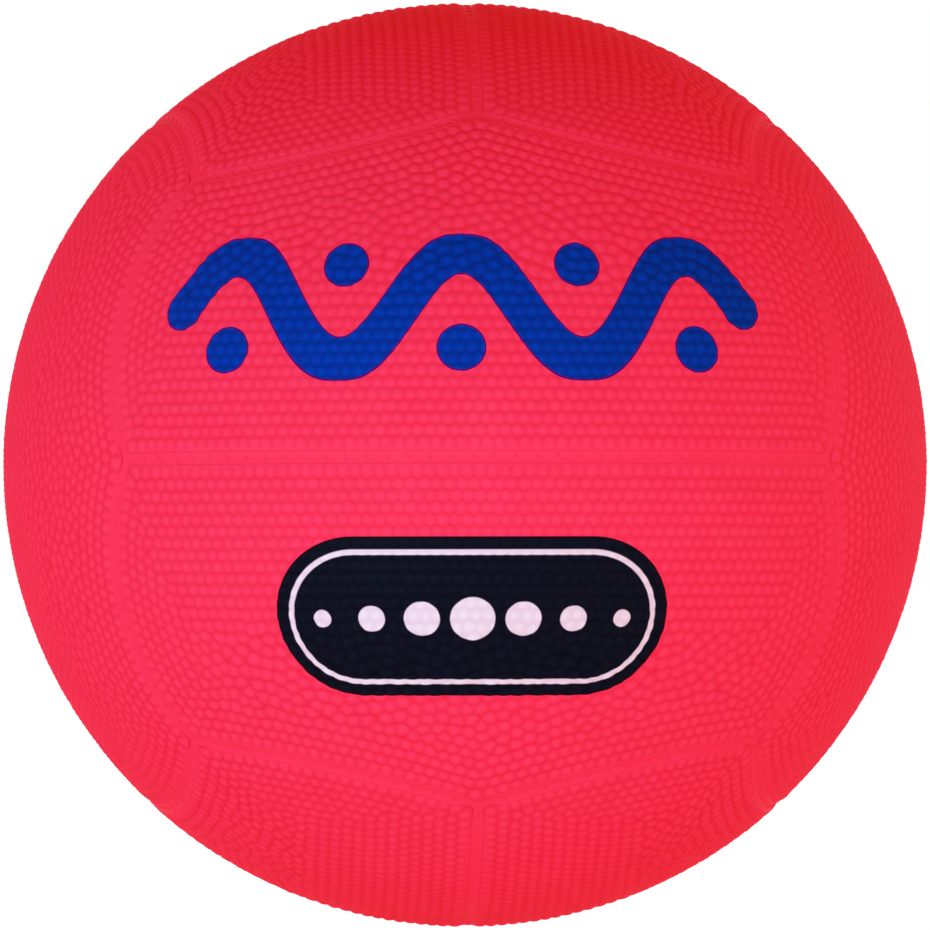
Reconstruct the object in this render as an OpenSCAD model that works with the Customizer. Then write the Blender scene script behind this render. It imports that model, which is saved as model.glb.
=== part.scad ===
// Rubber dodgeball: twelve curved cover panels laid between the raised seam ribs of a base cover,
// over a thread winding and an air bladder, with a self-sealing valve at the back.
// The centre of the ball is the origin, the straight seam of the front runs along X, the one of
// the top runs along Y and the ones of the two sides run along Z. The front faces -Y.

/* [Ball] */
// Outside diameter over the cover panels
ball_d = 191; // [150:1:260]
// Cement film between two bonded layers
bond_gap = 0.05; // [0.02:0.01:0.1]

/* [Seam pattern] */
// Arc of each straight seam, from one three-way junction to the other
straight_seam_deg = 90.7; // [84:0.1:96]
// How far each curved seam bows sideways out of its straight line
seam_bow_deg = 3.85; // [2:0.05:5]

/* [Seam channel] */
// Width of the channel between the faces of two panels
channel_w = 3.8; // [3:0.1:6]
// Width of the channel floor, which is the top of the rib and its two cement films
floor_w = 2.2; // [1:0.1:2.8]
// Depth of the channel floor below the panel faces
channel_depth = 0.5; // [0.3:0.05:0.8]

/* [Layers] */
// Thickness of a cover panel
panel_t = 1; // [0.9:0.05:2]
// Thickness of the base cover under the panels
base_t = 0.6; // [0.4:0.05:1.5]
// Thickness of the thread winding
winding_t = 0.4; // [0.2:0.05:1]
// Thickness of the bladder wall
bladder_t = 0.8; // [0.5:0.05:2]

/* [Valve] */
// Height of the valve above the level middle of the ball, as seen from behind
valve_lat_deg = 30; // [25:0.5:34]
// Diameter of the valve stem, which shows as a round button in the cover
stem_d = 7; // [6:0.1:9]
// How far the button lies below the cover
button_drop = 0.3; // [0.1:0.05:0.5]
// Whole length of the valve body
valve_l = 17; // [12:0.5:22]
// Diameter of the flange that is bonded inside the bladder
flange_d = 22; // [16:0.5:30]
// Thickness of the flange
flange_t = 1.2; // [0.8:0.1:2]
// Diameter of the boss behind the flange
boss_d = 9; // [8.6:0.1:12]
// Diameter of the sealing plug
plug_d = 4.6; // [4:0.1:5.2]
// Diameter of the plug's retaining ring
plug_ring_d = 6.4; // [5.8:0.1:7]
// Length of the retaining ring
plug_ring_l = 2; // [1:0.1:3]
// Diameter of the duct for the inflating needle
needle_duct_d = 2.1; // [1.6:0.05:2.6]
// Diameter of the lead-in at the mouth of the duct
lead_in_d = 3.4; // [2.8:0.1:3.8]
// Depth of the lead-in
lead_in_l = 0.8; // [0.4:0.1:1.5]

/* [Hidden] */
$fn = 128;

// Overrun of every cut, so that no two faces lie in one plane
overrun = ball_d / 10;

// Radii of the layers, from the outside inwards
ball_r = ball_d / 2;
panel_in_r = ball_r - panel_t;
floor_r = ball_r - channel_depth;
pocket_r = panel_in_r - bond_gap;
base_in_r = pocket_r - base_t;
winding_r = base_in_r - bond_gap;
winding_in_r = winding_r - winding_t;
bladder_r = winding_in_r - bond_gap;
bladder_in_r = bladder_r - bladder_t;

// Heights along the valve's own axis, counted from the centre of the ball
button_z = ball_r - button_drop;
valve_end_z = button_z - valve_l;
flange_r = bladder_in_r - bond_gap;
ring_z = (flange_r - flange_t + valve_end_z - plug_ring_l) / 2;

// Junctions of the seams round the front upper panel, as directions from the centre
half_seam_deg = straight_seam_deg / 2;
top_tee = [0, -sin(half_seam_deg), cos(half_seam_deg)];
front_tee = [sin(half_seam_deg), -cos(half_seam_deg), 0];
corner = unit([1, -1, 1]);

function unit(v) = v / norm(v);

// Point of a half plane at a radius from the centre and an angle from the axis
function polar(radius, deg) = [radius * sin(deg), radius * cos(deg)];

// Angle at the centre of the ball that a width spans at a radius
function span_deg(width, radius) = asin(width / radius);

// Half of the straight arc between two junctions
function half_arc_deg(a, b) = acos(a * b) / 2;

// Angular radius of the circle on the ball that a bowed seam between two junctions follows
function seam_circle_deg(a, b) =
    atan2(1 / cos(half_arc_deg(a, b)) - cos(seam_bow_deg), sin(seam_bow_deg));

// Sideways direction at the middle of the seam, pointing to the side that it bows to
function bow_side(a, b, towards) =
    let (across = unit(cross(a, b))) across * sign(across * towards);

// Axis of the seam's circle, on the side away from the bow
function seam_axis(a, b, towards) =
    let (lean = seam_circle_deg(a, b) - seam_bow_deg)
    unit(a + b) * cos(lean) - bow_side(a, b, towards) * sin(lean);

// Turns a child's +Z to a direction
module toward(direction) {
    rotate([0, acos(direction[2]), atan2(direction[1], direction[0])]) children();
}

// Everything on the +Z side of the centre
module half_space() {
    reach = ball_r + overrun;
    translate([-reach, -reach, 0]) cube([2 * reach, 2 * reach, reach]);
}

// Cone from the centre of the ball out past its face, at an angle from +Z
module wall_cone(deg) {
    reach = ball_r + overrun;
    cylinder(h = reach, r1 = 0, r2 = reach * tan(deg));
}

// Line of a panel's shoulder from its foot to its lip, carried past both by the overrun
function shoulder_line(foot, lip) =
    let (rise = overrun * unit(lip - foot)) [foot - rise, lip + rise];

// Turned tool that holds +Z and ends at the cone of a shoulder
module shoulder_cone(wall_deg, face_deg) {
    line = shoulder_line(polar(floor_r, wall_deg), polar(ball_r, face_deg));
    rotate_extrude() polygon([[0, 0], line[0], line[1], [0, ball_r + 2 * overrun]]);
}

// Everything below the upper wall of the straight seam's channel
module below_seam_wall(wall_z) {
    translate([0, 0, wall_z]) mirror([0, 0, 1]) half_space();
}

// Everything below the shoulder over that wall
module below_seam_shoulder(wall_z, face_z) {
    line = shoulder_line(
        [sqrt(floor_r * floor_r - wall_z * wall_z), wall_z],
        [sqrt(ball_r * ball_r - face_z * face_z), face_z]
    );
    rotate_extrude() polygon([
        [0, -ball_r], [line[1][0], -ball_r], line[1], line[0], [0, line[0][1]]
    ]);
}

// The upper seams bow into the front upper panel, which lies outside their circles
upper_deg = seam_circle_deg(corner, top_tee);
upper_axis = seam_axis(corner, top_tee, [0, -1, 0]);

// The side seams bow away from it, so that it lies inside their circles
side_deg = seam_circle_deg(corner, front_tee);
side_axis = seam_axis(corner, front_tee, [1, 0, 0]);
side_middle = unit(corner + front_tee);
beyond_side = unit(side_middle - side_axis * (side_middle * side_axis));

// Edges of the front upper panel, in the order in which they are cut
EDGES = ["below", "upper right", "upper left", "right", "left"];

// Cut that shapes one edge: the upright wall under the channel floor, or the shoulder that slopes
// up from it to the face. A positive grow moves it outwards.
module edge_cut(edge, shoulder, grow) {
    wall_gap = floor_w / 2 - grow;
    face_gap = channel_w / 2 - grow;
    wall_deg = span_deg(wall_gap, floor_r);
    face_deg = span_deg(face_gap, ball_r);
    if (edge == "below") {
        if (shoulder) below_seam_shoulder(wall_gap, face_gap);
        else below_seam_wall(wall_gap);
    }
    if (edge == "upper right") toward(upper_axis) {
        if (shoulder) shoulder_cone(upper_deg + wall_deg, upper_deg + face_deg);
        else wall_cone(upper_deg + wall_deg);
    }
    if (edge == "right") difference() {
        toward(beyond_side) half_space();
        toward(side_axis) {
            if (shoulder) shoulder_cone(side_deg - wall_deg, side_deg - face_deg);
            else wall_cone(side_deg - wall_deg);
        }
    }
    if (edge == "upper left") mirror([1, 0, 0]) edge_cut("upper right", shoulder, grow);
    if (edge == "left") mirror([1, 0, 0]) edge_cut("right", shoulder, grow);
}

// Front upper panel after a number of its cuts, all walls before the first shoulder: a piece of
// shell between one straight seam, two side seams and two upper seams. With a positive grow it is
// the pocket that the panel lies in.
module cut_panel(cuts, grow) {
    difference() {
        if (cuts == 0) sphere(ball_r);
        else cut_panel(cuts - 1, grow);
        if (cuts == 0) sphere(panel_in_r - grow);
        else edge_cut(EDGES[(cuts - 1) % len(EDGES)], cuts > len(EDGES), grow);
    }
}

// Turns the front upper panel to another place: by thirds of a turn about the diagonal that the
// three pairs of faces share, after a half turn about an axis
module placed(thirds, half_turn_deg) {
    rotate(a = 120 * thirds, v = [1, 1, 1]) rotate(half_turn_deg) children();
}

// Half turns that bring the front upper panel to the other three places of its third
no_turn_deg = [0, 0, 0];
turn_x_deg = [180, 0, 0];
turn_y_deg = [0, 180, 0];
turn_z_deg = [0, 0, 180];

// Colour of the cover rubber
cover_red = [0.93, 0.12, 0.2];

module cover_panel(thirds, half_turn_deg) {
    color(cover_red) placed(thirds, half_turn_deg) cut_panel(2 * len(EDGES), 0);
}

// Turns a child's +Z to the valve's axis
module at_valve() {
    rotate([valve_lat_deg - 90, 0, 0]) children();
}

// Hole for the valve stem through every layer
module stem_hole() {
    at_valve() translate([0, 0, flange_r - overrun])
        cylinder(h = 2 * overrun, d = stem_d + 2 * bond_gap);
}

module front_upper_panel() cover_panel(0, no_turn_deg);
module front_lower_panel() cover_panel(0, turn_y_deg);
module back_lower_panel() cover_panel(0, turn_x_deg);
module bottom_right_panel() cover_panel(1, no_turn_deg);
module top_right_panel() cover_panel(1, turn_x_deg);
module top_left_panel() cover_panel(1, turn_y_deg);
module bottom_left_panel() cover_panel(1, turn_z_deg);
module left_back_panel() cover_panel(2, no_turn_deg);
module left_front_panel() cover_panel(2, turn_x_deg);
module right_back_panel() cover_panel(2, turn_y_deg);
module right_front_panel() cover_panel(2, turn_z_deg);

// The valve comes out in the middle of this panel
module back_upper_panel() {
    color(cover_red) difference() {
        cover_panel(0, turn_z_deg);
        stem_hole();
    }
}

// Ball with the twelve pockets that the panels lie in. What is left between the pockets are the
// seam ribs, whose tops are the floors of the channels. The sphere is turned to the valve so that
// its poles lie under two opposite panels, clear of every rib.
module ribbed_ball() {
    difference() {
        at_valve() sphere(floor_r);
        for (thirds = [0, 1, 2]) for (half_turn_deg = [no_turn_deg, turn_x_deg, turn_y_deg, turn_z_deg])
            placed(thirds, half_turn_deg) cut_panel(len(EDGES), bond_gap);
    }
}

// Seamless rubber layer under the panels, with the ribs moulded on it
module base_cover() {
    color([0.95, 0.2, 0.35]) difference() {
        difference() {
            ribbed_ball();
            sphere(base_in_r);
        }
        stem_hole();
    }
}

// Round shell with the valve's hole in it
module layer(outer_r, inner_r) {
    difference() {
        sphere(outer_r);
        sphere(inner_r);
        stem_hole();
    }
}

module thread_winding() {
    color([0.9, 0.88, 0.82]) layer(winding_r, winding_in_r);
}

module bladder() {
    color([0.14, 0.14, 0.15]) layer(bladder_r, bladder_in_r);
}

// Rubber housing: stem through the layers, flange on the bladder's inner face and a boss behind it
module valve_body() {
    seat_d = plug_d + 2 * bond_gap;
    groove_d = plug_ring_d + 2 * bond_gap;
    color([0.55, 0.07, 0.12]) at_valve() difference() {
        union() {
            translate([0, 0, valve_end_z]) cylinder(h = flange_r - flange_t - valve_end_z, d = boss_d);
            translate([0, 0, flange_r - flange_t]) cylinder(h = button_z - flange_r + flange_t, d = stem_d);
            intersection() {
                difference() {
                    sphere(flange_r);
                    sphere(flange_r - flange_t);
                }
                translate([0, 0, valve_end_z]) cylinder(h = ball_r - valve_end_z, d = flange_d);
            }
        }
        translate([0, 0, valve_end_z - overrun]) cylinder(h = valve_l + 2 * overrun, d = seat_d);
        translate([0, 0, ring_z - bond_gap]) cylinder(h = plug_ring_l + 2 * bond_gap, d = groove_d);
    }
}

// Self-sealing plug: its ring locks in the housing, and the duct leads the needle through it
module valve_plug() {
    color([0.1, 0.1, 0.1]) at_valve() difference() {
        union() {
            translate([0, 0, valve_end_z]) cylinder(h = valve_l, d = plug_d);
            translate([0, 0, ring_z]) cylinder(h = plug_ring_l, d = plug_ring_d);
        }
        translate([0, 0, valve_end_z - overrun]) cylinder(h = valve_l + 2 * overrun, d = needle_duct_d);
        translate([0, 0, button_z - lead_in_l]) cylinder(h = lead_in_l, d1 = needle_duct_d, d2 = lead_in_d);
    }
}

front_upper_panel();
front_lower_panel();
back_upper_panel();
back_lower_panel();
top_left_panel();
top_right_panel();
bottom_left_panel();
bottom_right_panel();
left_front_panel();
left_back_panel();
right_front_panel();
right_back_panel();
base_cover();
thread_winding();
bladder();
valve_body();
valve_plug();
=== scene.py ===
"""Looks of a rubber dodgeball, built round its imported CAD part.

Twelve pebbled cover panels lie between the seam ribs of a base cover. One panel is laid out and
shaped, and turned to its twelve places. Lengths are in millimetres until a mesh is finished.
"""

import logging
import math
from dataclasses import dataclass, field
from enum import Enum
from typing import Any, Dict, List, Optional, Sequence, Tuple, Union

import bmesh
import bpy
import numpy as np
from bmesh.types import BMEdge, BMesh, BMVert
from bpy.types import Material, Mesh, NodeSocket, Object, World
from mathutils import Matrix, Vector
from mathutils.kdtree import KDTree


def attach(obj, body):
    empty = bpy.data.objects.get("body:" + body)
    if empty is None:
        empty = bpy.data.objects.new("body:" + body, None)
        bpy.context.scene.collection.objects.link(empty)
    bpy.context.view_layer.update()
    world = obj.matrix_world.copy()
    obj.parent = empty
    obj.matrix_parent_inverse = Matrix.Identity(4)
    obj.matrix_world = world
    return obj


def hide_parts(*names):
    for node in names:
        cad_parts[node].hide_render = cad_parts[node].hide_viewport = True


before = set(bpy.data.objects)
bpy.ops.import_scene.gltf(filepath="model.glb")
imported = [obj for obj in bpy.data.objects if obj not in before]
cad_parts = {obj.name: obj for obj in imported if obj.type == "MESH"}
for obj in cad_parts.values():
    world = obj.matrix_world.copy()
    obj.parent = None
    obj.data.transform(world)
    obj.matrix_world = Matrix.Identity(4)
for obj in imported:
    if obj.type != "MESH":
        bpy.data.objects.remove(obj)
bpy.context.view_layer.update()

LOG = logging.getLogger("dodgeball")
MM = 0.001
BALL_R = 95.5
FLOOR_R = 95.0
PANEL_IN_R = 94.5
FAR_AWAY = 1000.0
TINY = 1e-9
ROUNDING = 0.01
SPARE_STEPS = 4
HALF_WAY = 0.5
TONE_LIMIT = 1.2
DECIMALS = 4
SIDES = 5
UPPER_SEAMS = (1, 2)
STRAIGHT_SEAM = 4
FIFTH = 2 * math.pi / SIDES
BAND_SCALE = 0.314  # A wave texture of this scale has its bands one unit apart.
BODY = "root"
POLE = np.array([0.0, 0.0, 1.0])

Number = Union[int, float]
Colour = Tuple[float, float, float]
Input = Union["Value", Number, Sequence[float]]
Owner = Union[Material, World]
Array = np.ndarray


def unit(vector: Array) -> Array:
    """Returns the vector, or each row of an array of vectors, at length one."""
    return vector / np.linalg.norm(vector, axis=-1, keepdims=True)


def smooth_step(low: float, high: float, values: Array) -> Array:
    """Returns 0 below low, 1 above high and a smooth rise between."""
    share = np.clip((values - low) / (high - low), 0.0, 1.0)
    return share * share * (3.0 - 2.0 * share)


def bell(offset: Array, width: float) -> Array:
    """Returns 1 where the offset is nothing, falling smoothly to 0 within a few widths."""
    return np.exp(-((offset / width) ** 2))


def mesh_of(shape: BMesh, name: str) -> Mesh:
    """Turns a bmesh into a mesh with smooth faces.

    Args:
        shape: The bmesh, which is freed.
        name: The mesh's name.

    Returns:
        The mesh.
    """
    for face in shape.faces:
        face.smooth = True
    mesh = bpy.data.meshes.new(name)
    shape.to_mesh(mesh)
    shape.free()
    return mesh


def linked(name: str, data: bpy.types.ID) -> Object:
    """Makes an object of some data and links it into the scene."""
    made = bpy.data.objects.new(name, data)
    bpy.context.scene.collection.objects.link(made)
    return made


def aimed(azimuth_deg: float, elevation_deg: float, distance: float) -> Matrix:
    """Points a lamp or camera at the ball's centre.

    Args:
        azimuth_deg: Where it stands, round from the front.
        elevation_deg: Where it stands, up from the level.
        distance: How far off it stands, in metres.

    Returns:
        Its matrix.
    """
    azimuth, elevation = math.radians(azimuth_deg), math.radians(elevation_deg)
    level = math.cos(elevation)
    way = Vector((math.sin(azimuth) * level, -math.cos(azimuth) * level, math.sin(elevation)))
    turn = (-way).to_track_quat("-Z", "Y").to_matrix().to_4x4()
    return Matrix.Translation(way * distance) @ turn


# Shader nodes


class Value:
    """A number socket that Python's own operators work on."""

    def __init__(self, tree: "Shader", socket: NodeSocket) -> None:
        """Wraps a socket of a shader."""
        self.tree, self.socket = tree, socket

    def maths(self, operation: str, *others: Input) -> "Value":
        """Adds a Math node on this value and others, and returns its result."""
        return self.tree.add("ShaderNodeMath", {"operation": operation}, (self, *others))

    def __add__(self, other: Input) -> "Value":
        """Sum."""
        return self.maths("ADD", other)

    __radd__ = __add__

    def __mul__(self, other: Input) -> "Value":
        """Product."""
        return self.maths("MULTIPLY", other)

    __rmul__ = __mul__

    def __sub__(self, other: Input) -> "Value":
        """Difference."""
        return self.maths("SUBTRACT", other)

    def __rsub__(self, other: Input) -> "Value":
        """Difference from a number."""
        return self.tree.add("ShaderNodeMath", {"operation": "SUBTRACT"}, (other, self))

    def __truediv__(self, other: Input) -> "Value":
        """Quotient."""
        return self.maths("DIVIDE", other)

    def __rtruediv__(self, other: Input) -> "Value":
        """Quotient of a number."""
        return self.tree.add("ShaderNodeMath", {"operation": "DIVIDE"}, (other, self))

    def __neg__(self) -> "Value":
        """The same with the other sign."""
        return self * -1.0

    def __abs__(self) -> "Value":
        """Size without its sign."""
        return self.maths("ABSOLUTE")

    def least(self, other: Input) -> "Value":
        """Returns the smaller of two values."""
        return self.maths("MINIMUM", other)

    def most(self, other: Input) -> "Value":
        """Returns the larger of two values."""
        return self.maths("MAXIMUM", other)

    def span(self, other: "Value") -> "Value":
        """Returns the length of a step of this much one way and another value square to it."""
        return (self * self + other * other).maths("SQRT")

    def axis(self, number: int) -> "Value":
        """Returns one coordinate of a vector."""
        return self.tree.add("ShaderNodeSeparateXYZ", {}, (self,), number)

    def rise(self, low: float, high: float) -> "Value":
        """Returns 0 below low, 1 above high and a straight line between."""
        return self.tree.add(
            "ShaderNodeMapRange", {"clamp": True}, {"Value": self, "From Min": low, "From Max": high}
        )


class Shader:
    """The node tree of a material or of the world."""

    def __init__(self, owner: Owner) -> None:
        """Empties the owner's node tree."""
        owner.use_nodes = True
        self.owner = owner
        self.nodes, self.links = owner.node_tree.nodes, owner.node_tree.links
        self.nodes.clear()

    def add(
        self,
        kind: str,
        settings: Optional[Dict[str, Any]] = None,
        inputs: Union[Dict[str, Input], Sequence[Input], None] = None,
        output: Union[int, str] = 0,
    ) -> Value:
        """Adds one node.

        Args:
            kind: The node's type.
            settings: Its properties, which are set first.
            inputs: What its sockets hold, by name or in order.
            output: The socket that is wanted.

        Returns:
            That output as a value.
        """
        node = self.nodes.new(kind)
        for key, setting in (settings or {}).items():
            setattr(node, key, setting)
        given = inputs.items() if isinstance(inputs, dict) else enumerate(inputs or ())
        for key, what in given:
            socket = node.inputs[key]
            if isinstance(what, Value):
                self.links.new(what.socket, socket)
            elif socket.type == "RGBA" and len(what) == 3:
                socket.default_value = (*what, 1.0)
            else:
                socket.default_value = what
        return Value(self, node.outputs[output])

    def place(self) -> Value:
        """Returns the object coordinates, in metres."""
        return self.add("ShaderNodeTexCoord", output="Object")

    def noise(self, size_mm: float, detail: float = 2.0) -> Value:
        """Adds a noise whose lumps are about a size across, and returns its value."""
        return self.add(
            "ShaderNodeTexNoise", {},
            {"Vector": self.place(), "Scale": 1.0 / (size_mm * MM), "Detail": detail},
        )

    def blend(self, share: Input, first: Input, second: Input) -> Value:
        """Mixes two colours by the second's share, in the Mix node's colour sockets 6 and 7."""
        inputs = {0: share, 6: first, 7: second}
        return self.add("ShaderNodeMix", {"data_type": "RGBA"}, inputs, 2)

    def bump(self, height: Value, depth_mm: float) -> Value:
        """Adds a bump of a depth, and returns its normal."""
        inputs = {"Strength": 1.0, "Distance": depth_mm * MM, "Height": height}
        return self.add("ShaderNodeBump", {}, inputs)

    def shown(self) -> Value:
        """Returns 1 for what is seen, straight or in a reflection or clear piece, and 0 for light."""
        kinds = ("Is Camera Ray", "Is Glossy Ray", "Is Transmission Ray")
        camera, glossy, clear = (self.add("ShaderNodeLightPath", output=kind) for kind in kinds)
        return camera.most(glossy).most(clear)

    def finish(self, surface: Value) -> Owner:
        """Joins a surface to the output and returns the tree's owner."""
        world = isinstance(self.owner, World)
        output = self.nodes.new("ShaderNodeOutputWorld" if world else "ShaderNodeOutputMaterial")
        self.links.new(surface.socket, output.inputs["Surface"])
        return self.owner


# Prints


class Print(Enum):
    """What is printed on a panel."""

    BARE = "bare"
    WAVE = "wave"
    BADGE = "badge"


@dataclass(frozen=True)
class Ink:
    """Colours of an ink on the crowns, in the hollows, where the darker colour is painted shade, and
    along its edge, over the rubber's red.
    """

    crown: Colour
    shade_and_mottle: Colour
    edge: Colour
    edge_mm: float = 0.32
    soft_mm: float = 0.07

    def over(self, shader: Shader, shape: Value, crown: Input, base: Input) -> Value:
        """Lays the ink over a colour.

        Args:
            shader: The shader.
            shape: Distance from the print's outline in millimetres, negative inside it.
            crown: Share of the crown colour.
            base: The colour under the ink.

        Returns:
            The mixed colour.
        """
        # The hollow colour is the ink's painted shade between the pebbles.
        plain = shader.blend(crown, self.shade_and_mottle, self.crown)
        rim = (shape + self.edge_mm).rise(-self.soft_mm, self.soft_mm)
        rimmed = shader.blend(rim, plain, self.edge)
        return shader.blend((-shape).rise(-self.soft_mm, self.soft_mm), base, rimmed)


BLUE_INK = Ink((0.001, 0.04, 0.44), (0.001, 0.02, 0.22), (0.09, 0.001, 0.16))
NAVY_INK = Ink((0.005, 0.006, 0.015), (0.0025, 0.0028, 0.006), (0.012, 0.001, 0.006))
PALE_INK = Ink((0.79, 0.69, 0.82), (0.7, 0.54, 0.69), (0.5, 0.36, 0.5), edge_mm=0.1)


@dataclass(frozen=True)
class PrintPlace:
    """Middle of a print on the ball."""

    azimuth_deg: float
    elevation_deg: float

    def flat(self, shader: Shader) -> Tuple[Value, Value]:
        """Returns how far right of and above the middle each place lies, in millimetres."""
        place = shader.place()
        azimuth = place.axis(0).maths("ARCTAN2", -place.axis(1)) - math.radians(self.azimuth_deg)
        level = place.axis(0).span(place.axis(1))
        lift = place.axis(2).maths("ARCTAN2", level) - math.radians(self.elevation_deg)
        return azimuth * (BALL_R * math.cos(math.radians(self.elevation_deg))), lift * BALL_R


@dataclass(frozen=True)
class WaveBand:
    """Thick blue wave with a round dot in the hollow side of each bend."""

    place: PrintPlace = PrintPlace(-2.5, 17.5)
    swing: float = 10.5
    half_period: float = 22.8
    half_stroke: float = 4.3
    reach: float = 57.0
    dot_r: float = 4.6
    dot_drop: float = 8.4

    def paint(self, shader: Shader, crown: Input, base: Input) -> Tuple[Value, Value]:
        """Draws the print.

        Args:
            shader: The shader.
            crown: Share of the crown colours.
            base: The colour of the rubber.

        Returns:
            The colour with the print on it, and the distance from the print's outline.
        """
        right, up = self.place.flat(shader)
        phase = right * (math.pi / self.half_period)
        slope = phase.maths("SINE") * (self.swing * math.pi / self.half_period)
        lift = up - phase.maths("COSINE") * self.swing
        wave = abs(lift) / (slope * slope + 1.0).maths("SQRT") - self.half_stroke
        past = abs(right) - self.reach
        steep = math.atan(self.swing * math.pi / self.half_period)
        wave = wave.most(past * math.cos(steep) - up * math.sin(steep))
        wave = wave.least(past.span(up) - self.half_stroke)
        bend = (right / self.half_period).maths("ROUND")
        side = (bend * math.pi).maths("COSINE")
        dots = (right - bend * self.half_period).span(up + side * self.dot_drop) - self.dot_r
        shape = wave.least(dots.most(abs(bend) - (self.reach / self.half_period)))
        return BLUE_INK.over(shader, shape, crown, base), shape


@dataclass(frozen=True)
class Badge:
    """Navy badge with round ends, a pale line inside its edge and a row of dots along its middle."""

    place: PrintPlace = PrintPlace(-1.2, -18.6)
    half_width: float = 38.0
    end_r: float = 16.0
    line_inset: float = 3.0
    line_half_width: float = 0.55
    dot_gap: float = 9.6
    dot_r: float = 4.3
    dot_step: float = 0.85
    side_dots: int = 3

    def paint(self, shader: Shader, crown: Input, base: Input) -> Tuple[Value, Value]:
        """Draws the print.

        Args:
            shader: The shader.
            crown: Share of the crown colours.
            base: The colour of the rubber.

        Returns:
            The colour with the print on it, and the distance from the print's outline.
        """
        right, up = self.place.flat(shader)
        shape = (abs(right) - (self.half_width - self.end_r)).most(0.0).span(up) - self.end_r
        line = abs(shape + self.line_inset) - self.line_half_width
        number = (right / self.dot_gap).maths("ROUND")
        size = self.dot_r - abs(number) * self.dot_step
        dots = (right - number * self.dot_gap).span(up) - size
        marks = line.least(dots.most(abs(number) - (self.side_dots + 0.5)))
        navy = NAVY_INK.over(shader, shape, crown, base)
        return PALE_INK.over(shader, marks, crown, navy), shape


PRINTS = {Print.WAVE: WaveBand(), Print.BADGE: Badge()}


# Finishes


@dataclass(frozen=True)
class RubberFinish:
    """Satin rubber, mottled, with its hollows darker as painted shade where a mesh attribute tells
    them from the crowns.
    """

    name: str
    crown: Colour
    shade_and_mottle: Colour
    roughness: float
    gloss: float = 0.012
    grain_mm: float = 0.3
    grain_depth_mm: float = 0.006
    mottle_mm: float = 9.0
    mottle_detail: float = 3.0
    mottle_colour: float = 0.3
    mottle_roughness: float = 0.1
    ink_roughness: float = -0.12
    ink_soft_mm: float = 0.2

    def make(self, print_kind: Print = Print.BARE, attribute: Optional[str] = None) -> Material:
        """Builds the material.

        Args:
            print_kind: The print that the rubber carries.
            attribute: The mesh attribute that tells crowns from hollows, whose darker colour is
                painted shade.

        Returns:
            The material.
        """
        shader = Shader(bpy.data.materials.new(f"{self.name}_{print_kind.value}"))
        mottle = shader.noise(self.mottle_mm, self.mottle_detail)
        crown = mottle
        if attribute:
            crown = shader.add("ShaderNodeAttribute", {"attribute_name": attribute}, output="Fac")
        uneven = mottle - 0.5
        # Without the attribute, the noise mixes the darker colour in as mottle; with it, the hollows
        # get the darker colour as painted shade.
        colour = shader.blend(crown + uneven * self.mottle_colour, self.shade_and_mottle, self.crown)
        roughness = self.roughness + uneven * self.mottle_roughness
        if print_kind in PRINTS:
            colour, shape = PRINTS[print_kind].paint(shader, crown, colour)
            roughness = roughness + (-shape).rise(0.0, self.ink_soft_mm) * self.ink_roughness
        surface = shader.add("ShaderNodeBsdfPrincipled", {}, {
            "Base Color": colour, "Roughness": roughness, "Specular IOR Level": self.gloss,
            "Normal": shader.bump(shader.noise(self.grain_mm), self.grain_depth_mm),
        })
        return shader.finish(surface)


@dataclass(frozen=True)
class YarnFinish:
    """Nylon thread wound in every direction, as three sets of bands that cross each other."""

    name: str = "winding_yarn"
    thread: Colour = (0.78, 0.75, 0.68)
    gap: Colour = (0.42, 0.39, 0.34)
    thread_mm: float = 0.9
    depth_mm: float = 0.2
    turns: Tuple[Tuple[float, ...], ...] = ((0.0, 0.0, 0.3), (1.9, 0.4, 0.0), (0.7, 1.3, 2.1))
    sway: float = 1.5
    sway_detail: float = 1.0
    sway_scale: float = 0.4
    patch_mm: float = 22.0
    patch_least: float = 0.4
    gap_end: float = 0.1
    thread_start: float = 0.8
    gap_roughness: float = 0.8
    thread_roughness: float = -0.25

    def make(self) -> Material:
        """Builds the material."""
        shader = Shader(bpy.data.materials.new(self.name))
        threads: Optional[Value] = None
        for turn in self.turns:
            turned = shader.add("ShaderNodeMapping", {}, {"Vector": shader.place(), "Rotation": turn})
            bands = shader.add("ShaderNodeTexWave", {"bands_direction": "Z"}, {
                "Vector": turned, "Scale": BAND_SCALE / (self.thread_mm * MM),
                "Distortion": self.sway, "Detail": self.sway_detail, "Detail Scale": self.sway_scale,
            }, "Fac")
            layer = bands * (shader.noise(self.patch_mm, 1.0) + self.patch_least)
            threads = layer if threads is None else threads.most(layer)
        share = threads.rise(self.gap_end, self.thread_start)
        surface = shader.add("ShaderNodeBsdfPrincipled", {}, {
            "Base Color": shader.blend(share, self.gap, self.thread),
            "Roughness": self.gap_roughness + threads * self.thread_roughness,
            "Normal": shader.bump(threads, self.depth_mm),
        })
        return shader.finish(surface)


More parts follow.
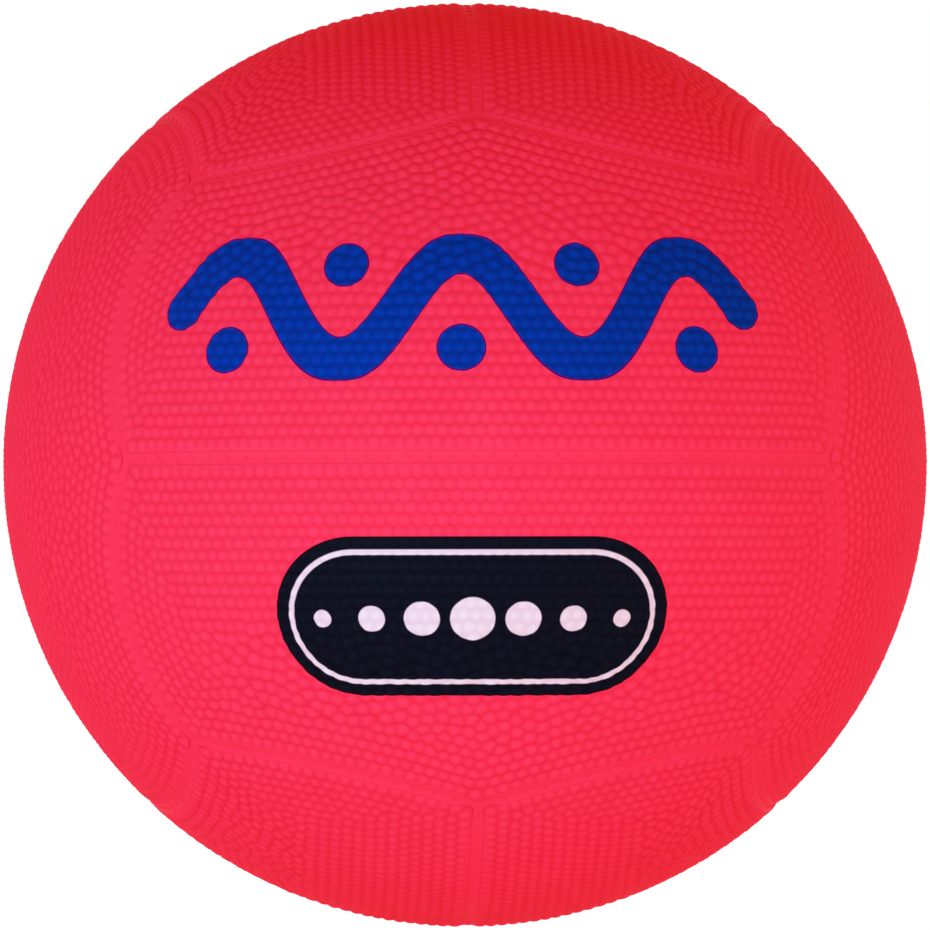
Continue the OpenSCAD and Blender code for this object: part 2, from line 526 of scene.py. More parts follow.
@dataclass(frozen=True)
class TalcFinish:
    """Black bladder rubber with talc dust left on it in patches."""

    name: str = "bladder_rubber"
    rubber: Colour = (0.022, 0.022, 0.024)
    talc: Colour = (0.3, 0.3, 0.3)
    patch_mm: float = 18.0
    patch_detail: float = 5.0
    patch_range: Tuple[float, float] = (0.5, 0.75)
    fleck_mm: float = 1.2
    fleck_detail: float = 3.0
    fleck_range: Tuple[float, float] = (0.35, 0.7)
    cover: float = 0.5
    roughness: float = 0.5
    talc_roughness: float = 0.4
    gloss: float = 0.35
    grain_mm: float = 0.6
    grain_depth_mm: float = 0.03

    def make(self) -> Material:
        """Builds the material."""
        shader = Shader(bpy.data.materials.new(self.name))
        patches = shader.noise(self.patch_mm, self.patch_detail).rise(*self.patch_range)
        flecks = shader.noise(self.fleck_mm, self.fleck_detail).rise(*self.fleck_range)
        dust = patches * flecks
        surface = shader.add("ShaderNodeBsdfPrincipled", {}, {
            "Base Color": shader.blend(dust * self.cover, self.rubber, self.talc),
            "Roughness": self.roughness + dust * self.talc_roughness,
            "Normal": shader.bump(shader.noise(self.grain_mm), self.grain_depth_mm),
            "Specular IOR Level": self.gloss,
        })
        return shader.finish(surface)


COVER = RubberFinish("cover_rubber", (0.9, 0.043, 0.125), (0.8, 0.018, 0.06), 0.6)
SEAM = RubberFinish("seam_rubber", (0.9, 0.04, 0.118), (0.88, 0.034, 0.104), 0.55)
STEM = RubberFinish("valve_rubber", (0.5, 0.012, 0.03), (0.42, 0.008, 0.02), 0.5)
PLUG = RubberFinish("plug_rubber", (0.024, 0.024, 0.026), (0.014, 0.014, 0.015), 0.6)
BLADDER = TalcFinish()
YARN = YarnFinish()


# Seam pattern


@dataclass(frozen=True)
class SeamCircle:
    """The circle on the ball that one seam follows, with the panel outside (1) or inside it (-1)."""

    axis: Array
    circle: float
    side: float
    beyond: Optional[Array] = None

    def distance(self, points: Array) -> Array:
        """Measures from the seam's centre line to points of the ball.

        Args:
            points: Directions from the centre, one a row.

        Returns:
            Lengths along the ball, positive on the panel's side.
        """
        angle = np.arccos(np.clip(points @ self.axis, -1.0, 1.0))
        length = (angle - self.circle) * BALL_R * self.side
        if self.beyond is None:
            return length
        return np.where(points @ self.beyond > 0.0, length, FAR_AWAY)

    def moved(self, points: Array, length: float) -> Array:
        """Moves points square to the seam until they lie at a length from it."""
        angle = self.circle + length / BALL_R * self.side
        radial = unit(points - np.outer(points @ self.axis, self.axis))
        return self.axis * math.cos(angle) + radial * math.sin(angle)

    def arc(self, start: Array, end: Array, shares: Array) -> Array:
        """Lays points along the seam's circle.

        Args:
            start: Where the arc starts.
            end: Where it ends, at the same length from the seam.
            shares: Shares of the way.

        Returns:
            A direction for each share.
        """
        rise = float(start @ self.axis)
        first = start - self.axis * rise
        other = np.cross(self.axis, first)
        turn = math.atan2(float(end @ other), float(end @ first))
        turns = shares[:, None] * turn
        return self.axis * rise + first * np.cos(turns) + other * np.sin(turns)

    def turned(self, matrix: Array) -> "SeamCircle":
        """Returns the seam of a turned or mirrored panel."""
        beyond = None if self.beyond is None else matrix @ self.beyond
        return SeamCircle(matrix @ self.axis, self.circle, self.side, beyond)


@dataclass
class SeamPattern:
    """Seams round the front upper panel, from the same sizes as the solid panel."""

    straight_seam_deg: float = 90.7
    seam_bow_deg: float = 3.85
    centre_deg: float = 30.0
    corner_rounds: int = 60
    seams: List[SeamCircle] = field(init=False)
    centre: Array = field(init=False)
    junctions: Array = field(init=False)

    def __post_init__(self) -> None:
        """Works out the circles and the junctions before them, round from the right side."""
        half = math.radians(self.straight_seam_deg) / 2
        top_tee = np.array([0.0, -math.sin(half), math.cos(half)])
        front_tee = np.array([math.sin(half), -math.cos(half), 0.0])
        corner = unit(np.array([1.0, -1.0, 1.0]))
        upper = SeamCircle(*self.bowed(corner, top_tee, np.array([0.0, -1.0, 0.0])), 1.0)
        side_axis, side_circle = self.bowed(corner, front_tee, np.array([1.0, 0.0, 0.0]))
        middle = unit(corner + front_tee)
        beyond = unit(middle - side_axis * float(middle @ side_axis))
        right = SeamCircle(side_axis, side_circle, -1.0, beyond)
        below = SeamCircle(POLE, math.pi / 2, -1.0)
        mirror = np.diag([-1.0, 1.0, 1.0])
        self.seams = [right, upper, upper.turned(mirror), right.turned(mirror), below]
        places = [front_tee, corner, top_tee, mirror @ corner, mirror @ front_tee]
        self.junctions = unit(np.array(places))
        lean = math.radians(self.centre_deg)
        self.centre = np.array([0.0, -math.cos(lean), math.sin(lean)])

    def bowed(self, a: Array, b: Array, towards: Array) -> Tuple[Array, float]:
        """Finds the circle of a bowed seam.

        Args:
            a: One junction.
            b: The other junction.
            towards: Any direction on the side that the seam bows to.

        Returns:
            The circle's axis and its angular radius.
        """
        bow = math.radians(self.seam_bow_deg)
        half_arc = math.acos(float(a @ b)) / 2
        circle = math.atan2(1 / math.cos(half_arc) - math.cos(bow), math.sin(bow))
        across = unit(np.cross(a, b))
        across = across * np.sign(float(across @ towards))
        axis = unit(a + b) * math.cos(circle - bow) - across * math.sin(circle - bow)
        return axis, circle

    def nearest(self, points: Array) -> Tuple[Array, Array]:
        """Returns each point's distance from its nearest seam, and that seam's number."""
        lengths = np.stack([seam.distance(points) for seam in self.seams])
        return lengths.min(axis=0), lengths.argmin(axis=0)

    def corners(self, gap: float) -> List[Array]:
        """Finds where the lines at a gap from two neighbouring seams meet.

        Args:
            gap: Distance from the seams.

        Returns:
            The corner before each seam.
        """
        found = []
        for number, seam in enumerate(self.seams):
            before = self.seams[number - 1]
            point = self.junctions[number]
            for _ in range(self.corner_rounds):
                point = seam.moved(point[None], gap)
                point = before.moved(point, gap)[0]
            found.append(point)
        return found

    def line(self, number: int, depth: float = 0.0) -> Tuple[Array, Array, float]:
        """Returns the ends and the length of the line at a distance inwards from a seam."""
        ends = self.junctions[[number, (number + 1) % SIDES]]
        start, end = self.seams[number].moved(ends, depth)
        return start, end, BALL_R * math.acos(float(np.clip(start @ end, -1, 1)))


# Pebbles


@dataclass
class PebbleField:
    """Pebbles of one panel, in rows along its seams that knit together towards its middle.

    The straight seam's rows reach furthest. The least distances, the reach of a push, the radii and
    the unevenness are shares of the pitch, height or tone. Other lengths are in millimetres.
    """

    pattern: SeamPattern
    first_row: float = 2.75
    row_gap: float = 2.27
    pitch: float = 2.38
    height: float = 0.32
    valley: float = 0.47
    row_bond: float = 0.2
    rows: Tuple[int, ...] = (6, 4, 4, 6, 14)
    pull: Tuple[float, ...] = (1.0, 1.0, 1.0, 1.0, 0.55)
    tap: float = 0.14
    seed: int = 7
    least_laid: float = 0.84
    least_filled: float = 0.8
    push_reach: float = 1.3
    close: float = 0.9
    push: float = 0.16
    far_push: float = 0.3
    line_slack: float = 0.1
    laid_rounds: int = 16
    filled_rounds: int = 12
    fills: int = 3
    tries: int = 90000
    tries_reach_deg: float = 45.0
    uneven_shift: float = 0.12
    uneven_place: float = 0.08
    uneven_height: float = 0.08
    uneven_tone: float = 0.06
    crown_r: float = 0.6
    crown_drop: float = 0.5
    foot_r: float = 0.72
    foot_power: int = 8
    bond_power: int = 4
    points: Array = field(init=False)
    heights: Array = field(init=False)
    tones: Array = field(init=False)

    def __post_init__(self) -> None:
        """Lays the rows, fills and evens them, and gives each pebble its height and tone."""
        random = np.random.default_rng(self.seed)
        self.points = self.evened(self.laid(random), self.laid_rounds)
        for _ in range(self.fills):
            self.points = self.evened(self.filled(self.points, random), self.filled_rounds)
        count = len(self.points)
        self.heights = self.height * (1.0 + self.uneven_height * random.standard_normal(count))
        self.tones = 1.0 + self.uneven_tone * random.standard_normal(count)

    def seam_of(self, points: Array) -> Array:
        """Returns the number of the seam that each point's row follows."""
        lengths = [seam.distance(points) * pull for seam, pull in zip(self.pattern.seams, self.pull)]
        return np.argmin(lengths, axis=0)

    def laid(self, random: np.random.Generator) -> Array:
        """Lays rows of points along every seam, the outer rows first.

        Args:
            random: Source of the rows' offsets.

        Returns:
            Directions of the pebbles.
        """
        kept = np.zeros((0, 3))
        least = math.cos(self.least_laid * self.pitch / BALL_R)
        change = self.uneven_shift
        shifts = random.uniform(-0.5, 0.5, len(self.pattern.seams))
        for row in range(max(self.rows)):
            depth = self.first_row + row * self.row_gap
            shifts += 0.5 + random.uniform(-change, change, len(shifts))
            for number, seam in enumerate(self.pattern.seams):
                if row >= self.rows[number]:
                    continue
                start, end, length = self.pattern.line(number, depth)
                count = int(length / self.pitch) + SPARE_STEPS
                steps = np.arange(-count, count + 1) + shifts[number]
                steps = steps + self.uneven_place * random.standard_normal(len(steps))
                points = seam.arc(start, end, 0.5 + steps * self.pitch / length)
                inside = self.pattern.nearest(points)[0] > self.first_row - ROUNDING
                points = points[inside & (self.seam_of(points) == number)]
                if len(kept) and len(points):
                    points = points[(points @ kept.T).max(axis=1) < least]
                kept = np.concatenate([kept, points])
        return kept

    def filled(self, points: Array, random: np.random.Generator) -> Array:
        """Adds a pebble wherever there is room for one.

        Args:
            points: Directions of the pebbles.
            random: Source of the places to try.

        Returns:
            The directions with the added ones.
        """
        spots = unit(random.standard_normal((self.tries, 3)))
        reach = math.cos(math.radians(self.tries_reach_deg))
        spots = spots[spots @ self.pattern.centre > reach]
        spots = spots[self.pattern.nearest(spots)[0] > self.first_row]
        closest = (spots @ points.T).max(axis=1)
        room = math.cos(self.least_filled * self.pitch / BALL_R)
        while closest.min() < room:
            spot = spots[closest.argmin()]
            points = np.concatenate([points, spot[None]])
            closest = np.maximum(closest, spots @ spot)
        return points

    def evened(self, points: Array, rounds: int) -> Array:
        """Lets neighbours push each other apart, while the outer row keeps to its line.

        Args:
            points: Directions of the pebbles.
            rounds: How often they push.

        Returns:
            The evened directions.
        """
        reach = self.push_reach * self.pitch
        outer = self.pattern.nearest(points)[0] < self.first_row + self.line_slack
        for _ in range(rounds):
            near = points @ points.T > math.cos(reach / BALL_R)
            first, second = np.nonzero(near)
            apart = first != second
            first, second = first[apart], second[apart]
            chords = (points[first] - points[second]) * BALL_R
            lengths = np.linalg.norm(chords, axis=1)
            urge = self.far_push + (lengths < self.pitch * self.close)
            push = self.push * np.clip(reach - lengths, 0.0, None) * urge
            step = np.zeros_like(points)
            np.add.at(step, first, chords / lengths[:, None] * push[:, None])
            points = unit(points + step / BALL_R)
            depth, which = self.pattern.nearest(points)
            for number, seam in enumerate(self.pattern.seams):
                back = (which == number) & (outer | (depth < self.first_row))
                points[back] = seam.moved(points[back], self.first_row)
        return points

    def relief(self, places: Array) -> Tuple[Array, Array]:
        """Works out how far the valleys between the pebbles go down at places on the panel.

        Args:
            places: Directions from the centre, one a row.

        Returns:
            Depths below the crowns, and shares of the crown colour, which drop in the valleys as
            painted shade, each the mean of four spots.
        """
        tree = KDTree(len(self.points))
        for number, point in enumerate(self.points):
            tree.insert(Vector(point), number)
        tree.balance()
        axes = np.array([seam.axis for seam in self.pattern.seams])
        rows = unit(np.cross(axes[self.seam_of(self.points)], self.points))
        east = unit(np.cross(POLE, places)) * self.tap / BALL_R
        north = np.cross(places, east)
        ways = [(a, b) for a in (-1, 1) for b in (-1, 1)]
        taps = [self.spot(tree, rows, places + a * east + b * north) for a, b in ways]
        drops, tones = zip(*taps)
        return np.mean(drops, axis=0), np.mean(tones, axis=0)

    def spot(self, tree: KDTree, rows: Array, places: Array) -> Tuple[Array, Array]:
        """Works out the relief at one spot of each place.

        Args:
            tree: Finds the nearest pebbles.
            rows: Direction of each pebble's row.
            places: The spots.

        Returns:
            Depths below the crowns, and shares of the crown colour.
        """
        found = [tree.find_n(Vector(place), 2) for place in places]
        first, second = (np.array([pair[which][1] for pair in found]) for which in (0, 1))
        near, far = (np.array([pair[which][2] for pair in found]) * BALL_R for which in (0, 1))
        chord = self.points[second] - self.points[first]
        border = (far ** 2 - near ** 2) / (2.0 * np.linalg.norm(chord, axis=1) * BALL_R)
        side = 1.0 - bell(border, self.valley)
        in_row = np.sum(unit(chord) * rows[first], axis=1) ** self.bond_power
        side += (1.0 - side) * self.row_bond * in_row
        crown = np.clip(near / (self.crown_r * self.pitch), 0.0, 1.0)
        foot = (near / (self.foot_r * self.pitch)) ** self.foot_power
        share = side * (1.0 - self.crown_drop * crown ** 2) * np.clip(1.0 - foot, 0.0, 1.0)
        # The colour share is painted shade in the valleys, times each pebble's own random tone.
        return self.height - self.heights[first] * share, np.sqrt(share) * self.tones[first]


# Cover panels


@dataclass(frozen=True)
class ValvePad:
    """Smooth round pad about the valve's hole, with a low lip and a line of painted shade round it.
    """

    hole_r: float = 3.55
    hole_cells: int = 8
    cell: float = 0.4
    blend: float = 4.0
    pad_r: float = 8.0
    soft: float = 1.0
    drop: float = 0.2
    lip_height: float = 0.08
    lip_width: float = 0.5
    line_shade: float = 0.5
    line_gap: float = 0.6
    line_width: float = 0.3


@dataclass
class CoverPanel:
    """One panel as a fine grid of five kites round its middle, closed by a wall and an underside."""

    pattern: SeamPattern
    cells: int = 116
    wall_gap: float = 1.1
    pebble_gap: float = 1.2
    face_gap: float = 2.2
    crown_r: float = 95.55
    foot_shade: float = 0.8
    foot_width: float = 0.3
    foot_rise: float = 0.21
    underside: Tuple[float, ...] = (0.62, 0.48)
    valve: Optional[ValvePad] = None

    def grid(self) -> BMesh:
        """Makes the grid flat, with the middle of each side at length one.

        Returns:
            A bmesh with the grid, the wall and the underside, with each vertex's level stored.
        """
        shape = bmesh.new()
        level = shape.verts.layers.int.new("level")
        mids = [Vector((math.cos(k * FIFTH), math.sin(k * FIFTH), 0)) for k in range(SIDES)]
        middle = shape.verts.new((0, 0, 0))
        sides = [shape.verts.new(mid) for mid in mids]
        tips = [shape.verts.new(mids[k] + mids[(k + 1) % SIDES]) for k in range(SIDES)]
        for k in range(SIDES):
            shape.faces.new((middle, sides[k], tips[k], sides[(k + 1) % SIDES]))
        bmesh.ops.subdivide_edges(shape, edges=shape.edges, cuts=self.cells - 1, use_grid_fill=True)
        if self.valve:
            self.open_hole(shape)
        rims = [edge for edge in shape.edges if edge.is_boundary]
        for edge in rims:
            edge.smooth = False
        outer = [edge for edge in rims if edge.verts[0].co.length > HALF_WAY]
        inner = [edge for edge in rims if edge.verts[0].co.length <= HALF_WAY]
        ring = self.deeper(shape, outer, level, 1, 1.0)
        for edge in ring:
            edge.smooth = False
        for number, shrink in enumerate(self.underside, start=2):
            ring = self.deeper(shape, ring, level, number, shrink)
        if inner:
            ring += self.deeper(shape, inner, level, 1, 1.0)
            bmesh.ops.bridge_loops(shape, edges=ring)
        else:
            bmesh.ops.holes_fill(shape, edges=ring)
        return shape

    def open_hole(self, shape: BMesh) -> None:
        """Deletes the cells round the middle."""
        edge = (self.valve.hole_cells - 0.5) / self.cells
        middles = np.array([face.calc_center_median()[:2] for face in shape.faces])
        _, u, v = self.kite(middles)
        gone = [face for face, ring in zip(shape.faces, np.maximum(u, v)) if ring < edge]
        bmesh.ops.delete(shape, geom=gone, context="FACES")

    @staticmethod
    def deeper(
        shape: BMesh, edges: List[BMEdge], level: Any, number: int, shrink: float
    ) -> List[BMEdge]:
        """Extrudes a closed line of edges to the next level.

        Args:
            shape: The bmesh.
            edges: The line to extrude.
            level: The layer that holds each vertex's level.
            number: The new level.
            shrink: The new line's size as a share of the old one's.

        Returns:
            The new edges.
        """
        old = {vert for edge in edges for vert in edge.verts}
        made = bmesh.ops.extrude_edge_only(shape, edges=edges)["geom"]
        for item in made:
            if isinstance(item, BMVert):
                item[level] = number
                item.co *= shrink
        return [e for e in made if isinstance(e, BMEdge) and not (set(e.verts) & old)]

    @staticmethod
    def kite(flat: Array) -> Tuple[Array, Array, Array]:
        """Finds where in the five kites flat points lie.

        Args:
            flat: Points of the flat grid.

        Returns:
            The number of each point's kite, and its two shares across that kite.
        """
        angle = np.mod(np.arctan2(flat[:, 1], flat[:, 0]) + TINY, 2 * math.pi)
        number = np.minimum((angle / FIFTH).astype(int), SIDES - 1)
        within = angle - number * FIFTH
        length = np.hypot(flat[:, 0], flat[:, 1]) / math.sin(FIFTH)
        return number, length * np.sin(FIFTH - within), length * np.sin(within)

    def directions(self, flat: Array) -> Array:
        """Maps flat points into the panel's outline on the ball.

        Args:
            flat: Points of the flat grid.

        Returns:
            Directions from the centre of the ball.
        """
        number, u, v = self.kite(flat)
        seams, corners = self.pattern.seams, self.pattern.corners(self.wall_gap)
        half = np.array([0.5])
        mids = [seams[k].arc(corners[k], corners[(k + 1) % SIDES], half)[0] for k in range(SIDES)]
        centre = self.pattern.centre
        found = np.zeros((len(flat), 3))
        for k in range(SIDES):
            here = number == k
            after = (k + 1) % SIDES
            tip, far = corners[after], corners[(k + 2) % SIDES]
            a, b = u[here], v[here]
            aa, bb = a[:, None], b[:, None]
            along_u = unit(centre * (1 - aa) + mids[k] * aa)
            along_v = unit(centre * (1 - bb) + mids[after] * bb)
            rim_u = seams[k].arc(corners[k], tip, 0.5 + 0.5 * b)
            rim_v = seams[after].arc(tip, far, 0.5 - 0.5 * a)
            straight = (
                (1 - aa) * (1 - bb) * centre + aa * (1 - bb) * mids[k]
                + (1 - aa) * bb * mids[after] + aa * bb * tip
            )
            found[here] = unit(
                (1 - bb) * along_u + bb * rim_v + (1 - aa) * along_v + aa * rim_u - straight
            )
        return self.rounded(flat, found) if self.valve else found

    def rounded(self, flat: Array, found: Array) -> Array:
        """Draws the cells round the hole into circles about the panel's middle.

        Args:
            flat: Points of the flat grid.
            found: Their directions without the hole.

        Returns:
            Their directions with it.
        """
        number, u, v = self.kite(flat)
        ring = np.maximum(u, v) * self.cells
        first = 0.5 * v / np.maximum(u, TINY)
        second = 1.0 - 0.5 * u / np.maximum(v, TINY)
        angle = (number + np.where(u >= v, first, second)) * FIFTH
        centre = self.pattern.centre
        east = unit(np.cross(POLE, centre))
        north = np.cross(centre, east)
        cells = self.valve.hole_cells
        reach = (self.valve.hole_r + (ring - cells) * self.valve.cell) / BALL_R
        side = np.cos(angle)[:, None] * east + np.sin(angle)[:, None] * north
        polar = centre * np.cos(reach)[:, None] + side * np.sin(reach)[:, None]
        own = smooth_step(cells, self.valve.blend * cells, ring)[:, None]
        return unit(polar * (1 - own) + found * own)

    def build(self, pebbles: PebbleField, name: str) -> Mesh:
        """Shapes the panel.

        Args:
            pebbles: The pebbles that it carries.
            name: The mesh's name.

        Returns:
            The mesh of the front upper panel, in millimetres.
        """
        shape = self.grid()
        level_layer = shape.verts.layers.int["level"]
        level = np.array([vert[level_layer] for vert in shape.verts])
        places = self.directions(np.array([vert.co[:2] for vert in shape.verts]))
        depth, _ = self.pattern.nearest(places)
        top = level == 0
        drop, tone = np.zeros(len(places)), np.ones(len(places))
        valley, share = pebbles.relief(places[top])
        inwards = smooth_step(self.pebble_gap, self.face_gap, depth[top])
        drop[top] = valley * inwards
        # Painted shade: the valleys between the pebbles are darkened, and a dark line is painted
        # along the foot of the wall beside the channel.
        foot = bell(depth[top] - self.wall_gap, self.foot_width)
        tone[top] = (1.0 - (1.0 - share) * inwards) * (1.0 - self.foot_shade * foot)
        foot_r = FLOOR_R + self.foot_rise
        radius = foot_r + (self.crown_r - foot_r) * smooth_step(self.wall_gap, self.face_gap, depth)
        if self.valve:
            valve = self.valve
            beyond = np.arccos(np.clip(places @ self.pattern.centre, -1, 1)) * BALL_R - valve.pad_r
            pad = 1 - smooth_step(0.0, valve.soft, beyond)
            drop *= 1 - pad
            tone += (1 - tone) * pad
            # Painted shade: a dark line just beyond the pad's lip.
            tone *= 1 - valve.line_shade * bell(beyond - valve.line_gap, valve.line_width)
            radius += bell(beyond, valve.lip_width) * valve.lip_height - pad * valve.drop
        radius = np.where(top, radius - drop, PANEL_IN_R)
        for vert, place in zip(shape.verts, places * radius[:, None]):
            vert.co = place
        bmesh.ops.recalc_face_normals(shape, faces=shape.faces)
        mesh = mesh_of(shape, name)
        # The crown attribute holds the painted shade of the valleys, the wall's foot and the pad's
        # line, with each pebble's own random tone.
        crown = mesh.attributes.new("crown", "FLOAT", "POINT")
        crown.data.foreach_set("value", np.clip(tone, 0, TONE_LIMIT).astype(np.float32))
        return mesh


# The ball


class HalfTurn(Enum):
    """Half turns that bring the front upper panel to the other places of its third."""

    NONE = (1.0, 1.0, 1.0)
    X = (1.0, -1.0, -1.0)
    Y = (-1.0, 1.0, -1.0)
    Z = (-1.0, -1.0, 1.0)


@dataclass(frozen=True)
class PanelPlace:
    """Where one panel lies."""

    node: str
    thirds: int
    half_turn: HalfTurn
    print_kind: Print = Print.BARE

    def matrix(self) -> Matrix:
        """Returns the turn from the front upper panel to this place."""
        third = Matrix.Rotation(2 * math.pi / 3 * self.thirds, 4, Vector((1, 1, 1)).normalized())
        return third @ Matrix.Diagonal((*self.half_turn.value, 1.0))


PLACES = (
    PanelPlace("front_upper_panel", 0, HalfTurn.NONE, Print.WAVE),
    PanelPlace("front_lower_panel", 0, HalfTurn.Y, Print.BADGE),
    PanelPlace("back_upper_panel", 0, HalfTurn.Z),
    PanelPlace("back_lower_panel", 0, HalfTurn.X),
    PanelPlace("bottom_right_panel", 1, HalfTurn.NONE),
    PanelPlace("top_right_panel", 1, HalfTurn.X),
    PanelPlace("top_left_panel", 1, HalfTurn.Y),
    PanelPlace("bottom_left_panel", 1, HalfTurn.Z),
    PanelPlace("left_back_panel", 2, HalfTurn.NONE),
    PanelPlace("left_front_panel", 2, HalfTurn.X),
    PanelPlace("right_back_panel", 2, HalfTurn.Y),
    PanelPlace("right_front_panel", 2, HalfTurn.Z),
)


def placed_piece(mesh: Mesh, name: str) -> Object:
    """Links a finished mesh, in metres, as a piece that rides on the ball."""
    piece = linked(name, mesh)
    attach(piece, BODY)
    return piece


@dataclass
class Cover:
    """The twelve panels."""

    pattern: SeamPattern

    def build(self) -> List[Object]:
        """Shapes two panels, one of them with the valve's hole, and places all twelve."""
        pebbles = PebbleField(self.pattern)
        plain = CoverPanel(self.pattern).build(pebbles, "panel")
        holed = CoverPanel(self.pattern, valve=ValvePad()).build(pebbles, "holed_panel")
        finishes = {kind: COVER.make(kind, "crown") for kind in Print}
        pieces = []
        for place in PLACES:
            mesh = (holed if place.node == "back_upper_panel" else plain).copy()
            mesh.transform(Matrix.Scale(MM, 4) @ place.matrix())
            mesh.materials.append(finishes[place.print_kind])
            piece = placed_piece(mesh, f"{place.node}_cover")
            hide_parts(place.node)
            pieces.append(piece)
        return pieces


def seam_piece(name: str, parts: List[Tuple[Mesh, Matrix]]) -> Object:
    """Joins copies of small meshes into one piece of seam rubber.

    Args:
        name: The piece's name.
        parts: Each mesh, in millimetres, with the matrix that places it on the ball.

    Returns:
        The piece.
    """
    whole = bmesh.new()
    for part, matrix in parts:
        copy = part.copy()
        copy.transform(Matrix.Scale(MM, 4) @ matrix)
        whole.from_mesh(copy)
        bpy.data.meshes.remove(copy)
    mesh = mesh_of(whole, name)
    mesh.materials.append(SEAM.make())
    return placed_piece(mesh, name)


def seam_turns() -> List[Tuple[Matrix, int]]:
    """Returns each seam once, as the turn of a panel beside it and the seam's number there."""
    found = []
    for place in PLACES:
        found += [(place.matrix(), number) for number in UPPER_SEAMS]
        if place.half_turn in (HalfTurn.NONE, HalfTurn.Z):
            found.append((place.matrix(), STRAIGHT_SEAM))
    return found


@dataclass
class SeamGrooves:
    """Strips that round the flat floors of the channels, flat again where three channels meet.

    The bowed seams have wider strips, which run a little way up the panels' shoulders and whose
    edges turn down under the pebbles.
    """

    pattern: SeamPattern
    straight_half_width: float = 1.15
    straight_slope: float = 0.22
    bowed_half_width: float = 1.8
    bowed_slope: float = 0.25
    bottom_r: float = 0.3
    lift: float = 0.02
    sink: float = 0.06
    flat_end: float = 1.6
    full_end: float = 4.0
    cells_along: int = 64
    cells_across: int = 12

    def build(self) -> List[Object]:
        """Lays a strip in each channel."""
        strips = {number: self.strip(number) for number in (*UPPER_SEAMS, STRAIGHT_SEAM)}
        parts = [(strips[number], turn) for turn, number in seam_turns()]
        return [seam_piece("seam_grooves", parts)]

    def strip(self, number: int) -> Mesh:
        """Shapes the strip of one seam of the front upper panel.

        Args:
            number: The seam's number.

        Returns:
            The strip, in millimetres.
        """
        seam = self.pattern.seams[number]
        start, end, length = self.pattern.line(number)
        shape = bmesh.new()
        bmesh.ops.create_grid(
            shape, x_segments=self.cells_along, y_segments=self.cells_across, size=0.5
        )
        straight = number == STRAIGHT_SEAM
        half_width = self.straight_half_width if straight else self.bowed_half_width
        slope = self.straight_slope if straight else self.bowed_slope
        flat = np.array([vert.co for vert in shape.verts])
        across = np.round(flat[:, 1] * 2 * half_width, DECIMALS)
        points = seam.arc(start, end, flat[:, 0] + 0.5)
        for offset in np.unique(across):
            line = across == offset
            points[line] = seam.moved(points[line], float(offset))
        full = smooth_step(self.flat_end, self.full_end, (0.5 - np.abs(flat[:, 0])) * length)
        groove = slope * (np.hypot(across, self.bottom_r) - self.bottom_r)
        if not straight:
            groove[np.abs(across) > half_width - self.lift] = -self.sink
        radius = FLOOR_R - self.sink + (self.sink + self.lift + groove) * full
        for vert, place in zip(shape.verts, points * radius[:, None]):
            vert.co = place
        shape.normal_update()
        first = next(iter(shape.faces))
        if first.normal.dot(first.calc_center_median()) < 0:
            bmesh.ops.reverse_faces(shape, faces=shape.faces)
        return mesh_of(shape, "strip")


@dataclass
class SeamTicks:
    """Slanted stitch-like ridges on the floors of the channels."""

    pattern: SeamPattern
    pitch: float = 4.05
    half_length: float = 1.1
    half_width: float = 0.26
    half_height: float = 0.13
    lift: float = 0.08
    slant_deg: float = 116.0
    end_gap: float = 3.3
    tick_cells: Tuple[int, int] = (8, 4)

    def build(self) -> List[Object]:
        """Makes every ridge from one small rounded shape."""
        tick = self.tick()
        turns = seam_turns()
        parts = [(tick, turn @ spot) for turn, number in turns for spot in self.spots(number)]
        return [seam_piece("seam_ticks", parts)]

    def tick(self) -> Mesh:
        """Makes one rounded ridge, with every half size at length one."""
        shape = bmesh.new()
        around, up = self.tick_cells
        bmesh.ops.create_uvsphere(shape, u_segments=around, v_segments=up, radius=1.0)
        return mesh_of(shape, "tick")

    def spots(self, number: int) -> List[Matrix]:
        """Lays the ridges along one seam.

        Args:
            number: The seam's number on the front upper panel.

        Returns:
            For each ridge, the matrix that sizes, turns and places it.
        """
        seam = self.pattern.seams[number]
        start, end, length = self.pattern.line(number)
        count = int((length - 2 * self.end_gap) / self.pitch) + 1
        shares = 0.5 + (np.arange(count) - (count - 1) / 2) * self.pitch / length
        slant = math.radians(self.slant_deg)
        found = []
        for point in seam.arc(start, end, shares):
            along = unit(np.cross(seam.axis, point))
            across = np.cross(point, along)
            ridge = along * math.cos(slant) + across * math.sin(slant)
            axes = np.stack([
                ridge * self.half_length, np.cross(point, ridge) * self.half_width,
                point * self.half_height,
            ], axis=1)
            matrix = Matrix(axes).to_4x4()
            matrix.translation = Vector(point * (FLOOR_R + self.lift))
            found.append(matrix)
        return found


@dataclass
class Inside:
    """Pieces of the solid part that keep their shape and only get a finish."""

    def build(self) -> List[Object]:
        """Gives each carried-over piece its material, and returns them."""
        finishes = {
            "base_cover": SEAM, "thread_winding": YARN, "bladder": BLADDER,
            "valve_body": STEM, "valve_plug": PLUG,
        }
        for name, finish in finishes.items():
            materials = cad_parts[name].data.materials
            materials.clear()
            materials.append(finish.make())
        return [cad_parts[name] for name in finishes]


# Studio


@dataclass(frozen=True)
class Lamp:
    """Round soft lamp that points at the ball, with its distance and size in metres."""

    name: str
    azimuth_deg: float
    elevation_deg: float
    distance: float
    size: float
    power: float
    colour: Colour

    def build(self) -> None:
        """Makes the lamp."""
        data = bpy.data.lights.new(self.name, "AREA")
        data.shape, data.size, data.energy, data.color = "DISK", self.size, self.power, self.colour
        lamp = linked(self.name, data)
        lamp.matrix_world = aimed(self.azimuth_deg, self.elevation_deg, self.distance)


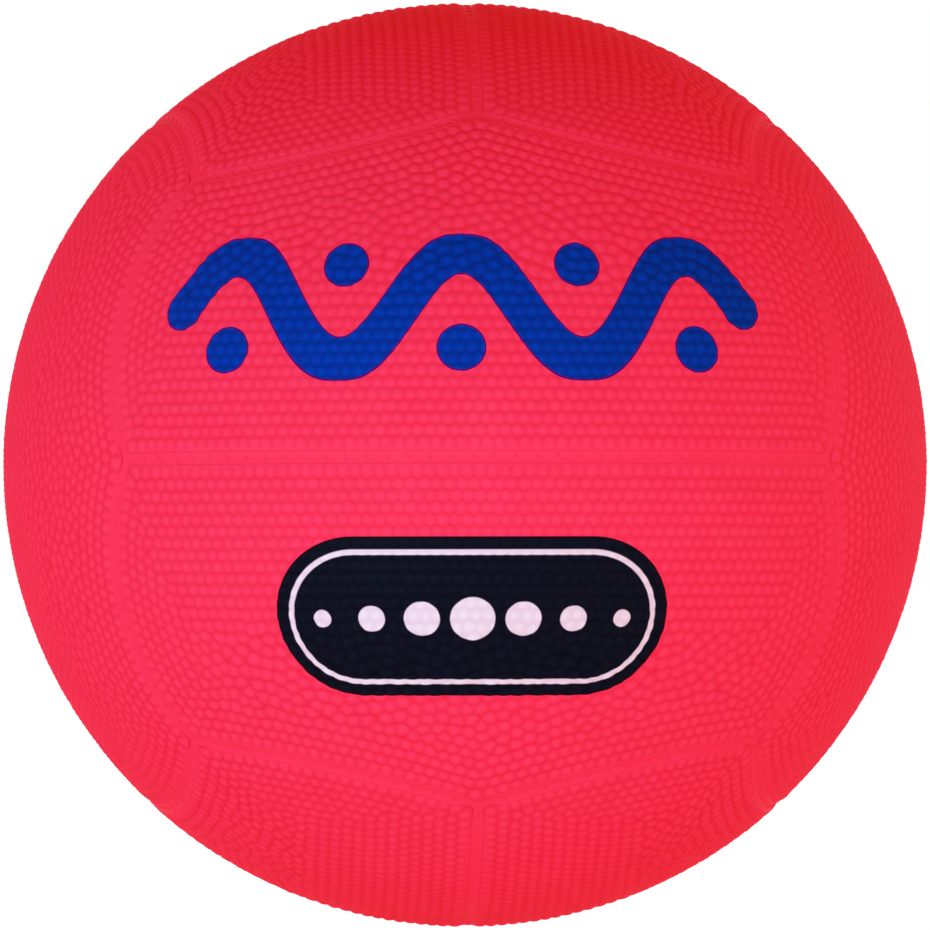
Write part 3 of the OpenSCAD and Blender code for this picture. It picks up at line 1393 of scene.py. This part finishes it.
LAMPS = (
    Lamp("key_left_light", -22.0, -5.0, 0.45, 0.1, 1.0, (0.27, 0.87, 1.0)),
    Lamp("key_right_light", 24.0, -5.0, 0.45, 0.1, 0.36, (0.54, 0.94, 1.0)),
    Lamp("left_light", -105.0, 10.0, 1.2, 0.6, 4.0, (0.48, 0.75, 1.0)),
    Lamp("right_light", 105.0, 10.0, 1.2, 0.6, 4.8, (0.35, 1.0, 0.76)),
    Lamp("back_light", 180.0, 10.0, 1.2, 0.3, 6.0, (0.34, 0.91, 1.0)),
)


@dataclass
class Studio:
    """Pale floor, white surroundings and soft lamps."""

    floor_drop: float = 95.6
    floor_size: float = 12000.0
    floor_shown: Colour = (0.96, 0.97, 1.0)
    floor_light: Colour = (0.65, 0.26, 0.18)
    floor_colour: Colour = (0.35, 0.35, 0.35)
    surroundings_shown: Colour = (1.0, 1.0, 1.0)
    surroundings_light: Colour = (0.7, 0.13, 0.03)

    def build(self) -> None:
        """Makes the floor, the world and the lamps."""
        self.floor()
        self.world()
        for lamp in LAMPS:
            lamp.build()
        bpy.context.scene.view_settings.view_transform = "Standard"

    def floor(self) -> None:
        """Makes the pale floor, which stays white to the camera and keeps the shadow."""
        shape = bmesh.new()
        bmesh.ops.create_grid(shape, x_segments=1, y_segments=1, size=self.floor_size / 2 * MM)
        bmesh.ops.translate(shape, vec=(0, 0, -self.floor_drop * MM), verts=shape.verts)
        mesh = mesh_of(shape, "floor")
        shader = Shader(bpy.data.materials.new("floor"))
        light = shader.blend(shader.shown(), self.floor_light, self.floor_shown)
        glow = shader.add("ShaderNodeEmission", {}, {"Color": light})
        plain = shader.add("ShaderNodeBsdfDiffuse", {}, {"Color": self.floor_colour})
        mesh.materials.append(shader.finish(shader.add("ShaderNodeAddShader", {}, (glow, plain))))
        linked("floor", mesh)

    def world(self) -> None:
        """Makes the world: white to the camera and in reflections, warmer as a light."""
        shader = Shader(bpy.data.worlds.new("studio"))
        light = shader.blend(shader.shown(), self.surroundings_light, self.surroundings_shown)
        background = shader.add("ShaderNodeBackground", {}, {"Color": light})
        bpy.context.scene.world = shader.finish(background)


@dataclass
class PhotoCamera:
    """Long lens in front of the ball, a little to its left and below its middle."""

    azimuth_deg: float = -2.1
    elevation_deg: float = -0.95
    roll_deg: float = -0.07
    distance: float = 948.3
    lens: float = 176.56
    sensor: float = 36.0

    def build(self) -> None:
        """Makes the camera and sets it as the scene's own."""
        data = bpy.data.cameras.new("photo_camera")
        data.lens, data.sensor_width = self.lens, self.sensor
        camera = linked("photo_camera", data)
        place = aimed(self.azimuth_deg, self.elevation_deg, self.distance * MM)
        camera.matrix_world = place @ Matrix.Rotation(math.radians(self.roll_deg), 4, "Z")
        bpy.context.scene.camera = camera


def main() -> None:
    """Builds the camera, the studio and the ball, and reports each piece."""
    PhotoCamera().build()
    Studio().build()
    pattern = SeamPattern()
    builders = (Cover(pattern), SeamGrooves(pattern), SeamTicks(pattern), Inside())
    for builder in builders:
        for piece in builder.build():
            LOG.info("%s: %d faces", piece.name, len(piece.data.polygons))


if __name__ == "__main__":
    logging.basicConfig(level=logging.INFO)
    main()
